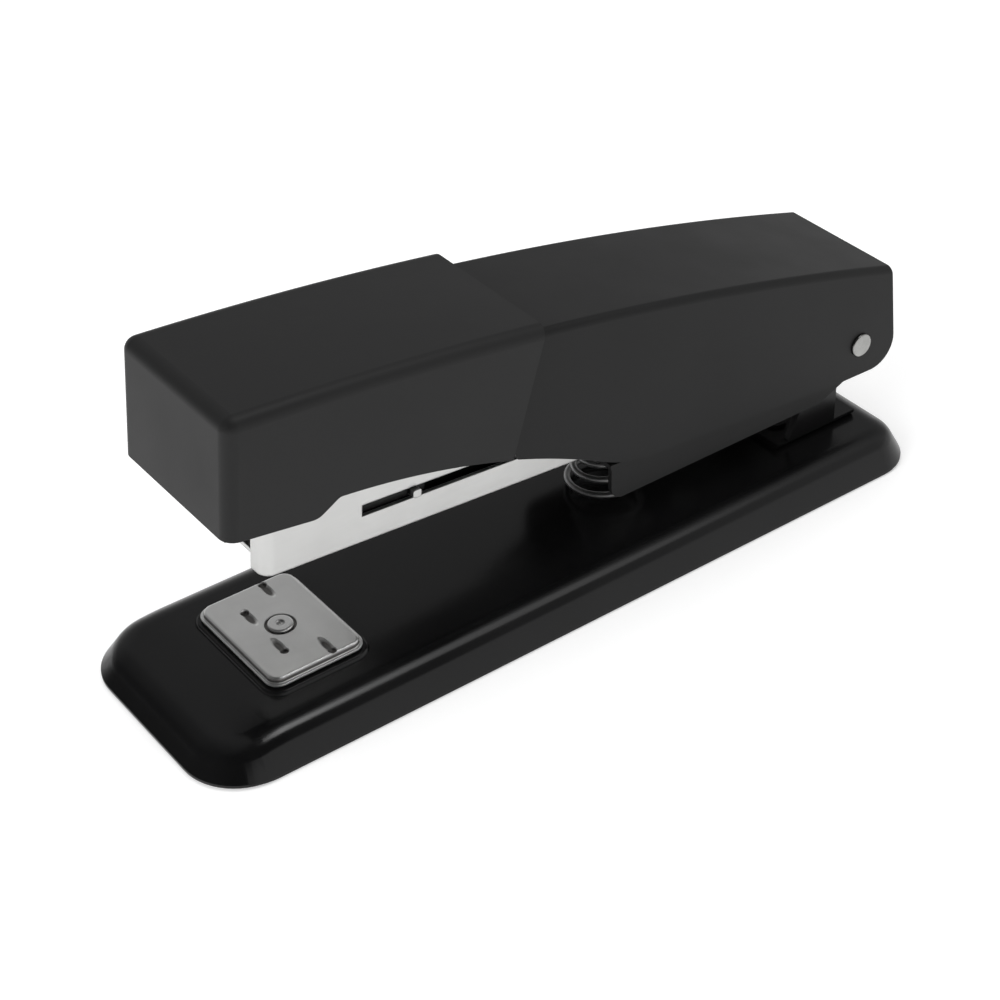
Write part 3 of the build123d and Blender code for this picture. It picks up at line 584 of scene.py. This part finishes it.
def atCorner(vert, length, width):
    return abs(abs(vert.co.x) - length / 2) < closeBy and abs(abs(vert.co.y) - width / 2) < closeBy


def cutBlock(bm, length, width, low, high, frontCorner, rearCorner, steps):
    block = bmesh.ops.create_cube(bm, size=1)["verts"]
    size = Matrix.Diagonal((length, width, high - low, 1))
    stand = Matrix.Translation((0, 0, (low + high) / 2))
    bmesh.ops.transform(bm, matrix=stand @ size, verts=block)
    for radius, front in ((frontCorner, True), (rearCorner, False)):
        uprights = [
            edge for edge in bm.edges
            if abs(edge.verts[0].co.z - edge.verts[1].co.z) > closeBy
            and all((vert.co.x < 0) == front and atCorner(vert, length, width) for vert in edge.verts)
        ]
        roundEdges(bm, uprights, radius, steps)
    return max(bm.faces, key=lambda face: face.calc_center_median().z)


def pressBase():
    bm = bmesh.new()
    top = cutBlock(
        bm,
        pressing["length"],
        pressing["width"],
        pressing["rimLow"],
        pressing["rimHigh"],
        pressing["noseCorner"],
        pressing["heelCorner"],
        pressing["cornerSteps"],
    )
    bottom = min(bm.faces, key=lambda face: face.calc_center_median().z)
    bmesh.ops.delete(bm, geom=[bottom], context="FACES_ONLY")
    bmesh.ops.inset_region(
        bm, faces=[top], thickness=pressing["wallIn"], depth=pressing["wallRise"], use_even_offset=True
    )
    for radius, steep, flat, steps in pressing["shoulder"]:
        for step in range(steps):
            before = radians(steep + (flat - steep) * step / steps)
            after = radians(steep + (flat - steep) * (step + 1) / steps)
            inward = radius * (sin(before) - sin(after))
            rise = radius * (cos(after) - cos(before))
            bmesh.ops.inset_region(bm, faces=[top], thickness=inward, depth=rise, use_even_offset=True)
    crown = max(vert.co.z for vert in bm.verts)
    noseRear = pressing["noseLength"] - pressing["length"] / 2
    for cut in range(pressing["noseCuts"]):
        bmesh.ops.bisect_plane(
            bm,
            geom=bm.verts[:] + bm.edges[:] + bm.faces[:],
            dist=closeBy,
            plane_co=(noseRear - pressing["noseLength"] * cut / pressing["noseCuts"], 0, 0),
            plane_no=(1, 0, 0),
        )
    drop = pressing["noseDrop"]
    curve = (pressing["noseLength"] ** 2 + drop ** 2) / (2 * drop)
    for vert in bm.verts:
        ahead = max(0, noseRear - vert.co.x)
        lower = curve - (curve ** 2 - ahead ** 2) ** 0.5
        share = (vert.co.z - pressing["rimHigh"]) / (crown - pressing["rimHigh"])
        vert.co.z -= max(0, share) * lower
    bmesh.ops.recalc_face_normals(bm, faces=bm.faces)
    bmesh.ops.solidify(bm, geom=bm.faces[:], thickness=pressing["sheet"])
    for vert in bm.verts:
        vert.co.z = max(vert.co.z, pressing["rimLow"])  # the rim stands level on the sole
    raisePad(bm)
    piece = closeMesh(bm, "basePressing", "gloss_enamel")
    smoothFaces(piece, pressing["smooth"])
    evenNormals(piece)
    return piece


def raisePad(bm):
    pad = bmesh.new()
    top = cutBlock(
        pad,
        anvilPad["length"],
        anvilPad["width"],
        anvilPad["low"],
        anvilPad["foot"],
        anvilPad["corner"],
        anvilPad["corner"],
        anvilPad["cornerSteps"],
    )
    for inward, rise in anvilPad["steps"]:
        bmesh.ops.inset_region(pad, faces=[top], thickness=inward, depth=rise, use_even_offset=True)
    bmesh.ops.translate(pad, verts=pad.verts, vec=(anvilPad["x"], 0, 0))
    shape = bpy.data.meshes.new("anvilPad")
    pad.to_mesh(shape)
    pad.free()
    bm.from_mesh(shape)
    bpy.data.meshes.remove(shape)


handleLeaf = {"bendStart": 0.012, "tipRise": 0.0052, "curve": 1.3, "smooth": 30}


def bendLeaf():
    lowCorner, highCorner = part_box("handle_spring")
    bm = bmesh.new()
    bm.from_mesh(nodes["handle_spring"].data)
    bmesh.ops.remove_doubles(bm, verts=bm.verts, dist=mergeGap)
    start = lowCorner.x + handleLeaf["bendStart"]
    for vert in bm.verts:
        share = max(0, vert.co.x - start) / (highCorner.x - start)
        vert.co.z += handleLeaf["tipRise"] * share ** handleLeaf["curve"]  # room for the press stroke
    return closeMesh(bm, "handleLeaf", "spring_steel")


leafPiece = bendLeaf()
smoothFaces(leafPiece, handleLeaf["smooth"])
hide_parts("handle_spring")
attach(leafPiece, "handle")

basePiece = pressBase()
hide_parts("base_plate")
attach(basePiece, "base")
print("stapler: base pressed")

coneCoil = {
    "x": 0.018,
    "wire": 0.0006,
    "low": 0.00725,
    "lowRadius": 0.0072,
    "highRadius": 0.0036,
    "flare": 1.6,
    "turns": 4.5,
    "stepsPerTurn": 40,
    "wireSides": 12,
    "smooth": 40,
}


def wireRing(bm, coil, stand):
    ring = bmesh.ops.create_circle(bm, cap_ends=True, segments=coil["wireSides"], radius=coil["wire"])
    bmesh.ops.transform(bm, matrix=stand, verts=ring["verts"])
    return bm.faces[:] + bm.edges[:] + bm.verts[:]


def coilRadius(share):
    spread = coneCoil["lowRadius"] - coneCoil["highRadius"]
    return coneCoil["highRadius"] + spread * (1 - share) ** coneCoil["flare"]


def windConeCoil():
    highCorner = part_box("lift_spring")[1]
    centre = Vector((coneCoil["x"], 0, 0))
    rise = highCorner.z - coneCoil["wire"] - coneCoil["low"]
    steps = round(coneCoil["turns"] * coneCoil["stepsPerTurn"])
    turn = 2 * pi / coneCoil["stepsPerTurn"]
    bm = bmesh.new()
    stand = Matrix.Translation(centre + Vector((coilRadius(0), 0, coneCoil["low"])))
    last = wireRing(bm, coneCoil, stand @ Matrix.Rotation(pi / 2, 4, "X"))
    for step in range(steps):
        angle = (step + 1) * turn
        inward = coilRadius((step + 1) / steps) - coilRadius(step / steps)
        shift = Vector((inward * cos(angle), inward * sin(angle), rise / steps))
        spun = bmesh.ops.spin(
            bm, geom=last, cent=centre, axis=(0, 0, 1), dvec=shift, angle=turn, steps=1
        )
        last = spun["geom_last"]
    return closeMesh(bm, "liftCoil", "spring_steel")


liftCoil = windConeCoil()
smoothFaces(liftCoil, coneCoil["smooth"])
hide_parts("lift_spring")
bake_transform(liftCoil)

feedCoil = {
    "radius": 0.0023,
    "wire": 0.0002,
    "turns": 40,
    "stepsPerTurn": 18,
    "wireSides": 6,
    "smooth": 60,
    "kept": 0.3,
}


def windFeedCoil():
    lowCorner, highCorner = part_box("pusher_spring")
    along = Vector((cos(magazineTilt), 0, -sin(magazineTilt)))
    halfRise = feedCoil["radius"] * cos(magazineTilt)
    front = Vector((lowCorner.x + feedCoil["radius"] * sin(magazineTilt), 0, highCorner.z - halfRise))
    rear = Vector((highCorner.x - feedCoil["radius"] * sin(magazineTilt), 0, lowCorner.z + halfRise))
    start = front + along * feedCoil["wire"]
    length = (rear - front).length - 2 * feedCoil["wire"]
    steps = feedCoil["turns"] * feedCoil["stepsPerTurn"]
    bm = bmesh.new()
    stand = Matrix.Translation(start + Vector((0, feedCoil["radius"] - feedCoil["wire"], 0)))
    bmesh.ops.spin(
        bm,
        geom=wireRing(bm, feedCoil, stand),
        cent=start,
        axis=along,
        dvec=along * (length / steps),
        angle=2 * pi * feedCoil["turns"],
        steps=steps,
    )
    return closeMesh(bm, "feedCoil", "spring_steel"), along, rear


pushCoil, rodWay, rodEnd = windFeedCoil()
smoothFaces(pushCoil, feedCoil["smooth"])
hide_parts("pusher_spring")
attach(pushCoil, "magazine")
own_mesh(pushCoil)
print("stapler: springs wound")

stapleRow = {
    "count": 18,
    "pitch": 0.00053,
    "wire": 0.0005,
    "wide": 0.00046,
    "crown": 0.0127,
    "leg": 0.006,
    "bend": 0.0003,
    "bendSteps": 4,
}


def bendStaples():
    lowCorner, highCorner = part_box("staple_strip")
    along = Vector((cos(magazineTilt), 0, -sin(magazineTilt)))
    up = Vector((sin(magazineTilt), 0, cos(magazineTilt)))
    half, wire, leg = stapleRow["crown"] / 2, stapleRow["wire"], stapleRow["leg"]
    bm = bmesh.new()
    corners = [(-half, -leg), (-half, 0), (half, 0), (half, -leg)]
    corners += [(half - wire, -leg), (half - wire, -wire), (wire - half, -wire), (wire - half, -leg)]
    outline = bm.faces.new([bm.verts.new((0, side, rise)) for side, rise in corners])
    grown = bmesh.ops.extrude_face_region(bm, geom=[outline])
    bmesh.ops.translate(bm, verts=vertsOf(grown["geom"]), vec=(stapleRow["wide"], 0, 0))
    shoulders = [
        edge for edge in bm.edges
        if all(abs(abs(vert.co.y) - half) < closeBy and abs(vert.co.z) < closeBy for vert in edge.verts)
    ]
    roundEdges(bm, shoulders, stapleRow["bend"], stapleRow["bendSteps"])
    one = bm.verts[:] + bm.edges[:] + bm.faces[:]
    for place in range(1, stapleRow["count"]):
        copied = bmesh.ops.duplicate(bm, geom=one)
        shift = Vector((place * stapleRow["pitch"], 0, 0))
        bmesh.ops.translate(bm, verts=vertsOf(copied["geom"]), vec=shift)
    turned = Matrix((along, (0, 1, 0), up)).transposed().to_4x4()
    stand = Matrix.Translation(Vector((lowCorner.x + leg * sin(magazineTilt), 0, highCorner.z)))
    bmesh.ops.transform(bm, matrix=stand @ turned, verts=bm.verts)
    return closeMesh(bm, "stapleRow", "staple_wire")


staples = bendStaples()
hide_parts("staple_strip")
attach(staples, "magazine")
print("stapler: staples bent")


# stage, light and camera

stageSizes = {
    "floor": 6.0,
    "grey": 0.86,
    "lightGrey": 0.87,
    "fibreScale": 30,
    "roughness": 0.9,
    "shine": 0.1,
    "lift": 0.36,
    "farLift": 0.60,  # keeps the floor pale where the lamps don't reach
    "farFrom": (0.40, 1.20),
    "mirrored": 0.6,
}


def mirrorRays(tree):
    rays = addNode(tree, "ShaderNodeLightPath")
    through = addNode(tree, "ShaderNodeMath", operation="ADD", use_clamp=True)
    tree.links.new(rays.outputs["Is Glossy Ray"], through.inputs[0])
    tree.links.new(rays.outputs["Is Transmission Ray"], through.inputs[1])
    return rays.outputs["Is Camera Ray"], through.outputs[0]


def laySheet():
    bm = bmesh.new()
    bmesh.ops.create_grid(bm, x_segments=1, y_segments=1, size=stageSizes["floor"] / 2)
    mesh = bpy.data.meshes.new("floorSheet")
    bm.to_mesh(mesh)
    bm.free()
    sheet = bpy.data.objects.new("floorSheet", mesh)
    scene.collection.objects.link(sheet)
    finish, tree, shader = startFinish("floorPaper")
    fibre = addNoise(tree, placeOn(tree), stageSizes["fibreScale"], detail=2)
    paper = addTint(tree, fibre, (stageSizes["grey"],) * 3, (stageSizes["lightGrey"],) * 3)
    tree.links.new(paper, shader.inputs["Base Color"])
    shader.inputs["Roughness"].default_value = stageSizes["roughness"]
    shader.inputs["Specular IOR Level"].default_value = stageSizes["shine"]
    cameraRay, mirrorRay = mirrorRays(tree)
    seen = addNode(tree, "ShaderNodeMath", {1: stageSizes["mirrored"]}, operation="MULTIPLY_ADD")
    tree.links.new(mirrorRay, seen.inputs[0])
    tree.links.new(cameraRay, seen.inputs[2])
    reach = addNode(tree, "ShaderNodeVectorMath", operation="LENGTH")
    tree.links.new(placeOn(tree), reach.inputs[0])
    lifts = (stageSizes["lift"], stageSizes["farLift"])
    lift = addRange(tree, reach.outputs["Value"], *stageSizes["farFrom"], *lifts)
    glow = multiply(tree, addRange(tree, seen.outputs[0], 0, 1, 0, 1), lift)
    shader.inputs["Emission Color"].default_value = (1, 1, 1, 1)
    tree.links.new(glow, shader.inputs["Emission Strength"])
    mesh.materials.append(finish)


laySheet()

skyTone = {
    "fill": 0.48,
    "horizon": 0.85,
    "backCeiling": 0.33,
    "backRise": (0.02, 0.30),
    "frontCeiling": (0.05, 0.62),  # left and right
    "frontAcross": (0.36, 0.60),
    "frontRise": (0.30, 0.42),
    "frontToBack": (-0.1, 0.2),
    "leftShade": 0.15,
    "leftAcross": (-0.55, -0.20),
}


def setWorld():
    world = bpy.data.worlds.new("studioRoom")
    scene.world = world
    world.use_nodes = True
    tree = world.node_tree
    room = tree.nodes["Background"]
    where = addNode(tree, "ShaderNodeTexCoord")
    split = addNode(tree, "ShaderNodeSeparateXYZ")
    tree.links.new(where.outputs["Generated"], split.inputs["Vector"])
    rise = split.outputs["Z"]
    across = split.outputs["X"]
    backTone = addRange(tree, rise, *skyTone["backRise"], skyTone["horizon"], skyTone["backCeiling"])
    frontCeiling = addRange(tree, across, *skyTone["frontAcross"], *skyTone["frontCeiling"])
    frontTone = addNode(tree, "ShaderNodeMix", {"A": skyTone["horizon"]}, data_type="FLOAT")
    tree.links.new(addRange(tree, rise, *skyTone["frontRise"], 0, 1), frontTone.inputs["Factor"])
    tree.links.new(frontCeiling, frontTone.inputs["B"])
    wall = addNode(tree, "ShaderNodeMix", data_type="FLOAT")
    behind = addRange(tree, split.outputs["Y"], *skyTone["frontToBack"], 0, 1)
    tree.links.new(behind, wall.inputs["Factor"])
    tree.links.new(frontTone.outputs["Result"], wall.inputs["A"])
    tree.links.new(backTone, wall.inputs["B"])
    leftShade = addRange(tree, across, *skyTone["leftAcross"], skyTone["leftShade"], 1)
    mirrored = multiply(tree, wall.outputs["Result"], leftShade)
    cameraRay, mirrorRay = mirrorRays(tree)
    lit = addNode(tree, "ShaderNodeMix", {"A": skyTone["fill"]}, data_type="FLOAT")
    tree.links.new(mirrorRay, lit.inputs["Factor"])
    tree.links.new(mirrored, lit.inputs["B"])
    tone = addNode(tree, "ShaderNodeMix", {"B": 1.0}, data_type="FLOAT")  # white behind the object
    tree.links.new(cameraRay, tone.inputs["Factor"])
    tree.links.new(lit.outputs["Result"], tone.inputs["A"])
    tree.links.new(tone.outputs["Result"], room.inputs["Strength"])
    room.inputs["Color"].default_value = (1, 1, 1, 1)


setWorld()

lamps = {
    "leftBox": {"at": (-0.85, -0.10, 0.45), "size": (0.7, 0.7), "watts": 4.6},
    "overBox": {"at": (0.05, 0.25, 0.95), "size": (0.9, 0.6), "watts": 2.0},
    "edgeBox": {"at": (0.120, -0.10, 0.545), "size": (0.13, 0.13), "watts": 0.27, "glint": True},
    "edgeStrip": {"at": (0.24, -0.09, 0.545), "size": (0.18, 0.26), "watts": 0.165, "glint": True},
}
lampAim = Vector((0, 0, 0.03))


def hangLamps():
    for name, lamp in lamps.items():
        light = bpy.data.lights.new(name, "AREA")
        light.shape = "ELLIPSE"
        light.size, light.size_y = lamp["size"]
        light.energy = lamp["watts"]
        holder = bpy.data.objects.new(name, light)
        holder.location = lamp["at"]
        beam = lampAim - Vector(lamp["at"])
        holder.rotation_euler = beam.to_track_quat("-Z", "Y").to_euler()
        holder.visible_glossy = lamp.get("glint", False)  # only the small lamps show as a glint
        scene.collection.objects.link(holder)


hangLamps()

view = {
    "at": (-0.183088, -0.243888, 0.235387),
    "right": (0.796714, -0.604257, -0.010926),
    "up": (0.350790, 0.447647, 0.822532),
    "back": (-0.492130, -0.659156, 0.568613),
    "lens": 81.018,
    "sensor": 36,
    "near": 0.01,
    "shift": (-0.016998, -0.065092),
}


def setCamera():
    lens = bpy.data.cameras.new("photoCamera")
    lens.sensor_width = view["sensor"]
    lens.lens = view["lens"]
    lens.shift_x, lens.shift_y = view["shift"]
    lens.clip_start = view["near"]
    camera = bpy.data.objects.new("photoCamera", lens)
    axes = Matrix((view["right"], view["up"], view["back"])).transposed().to_4x4()
    camera.matrix_world = Matrix.Translation(Vector(view["at"])) @ axes
    scene.collection.objects.link(camera)
    scene.camera = camera


setCamera()
scene.view_settings.view_transform = "Standard"
print("stapler: stage, lamps and camera set")
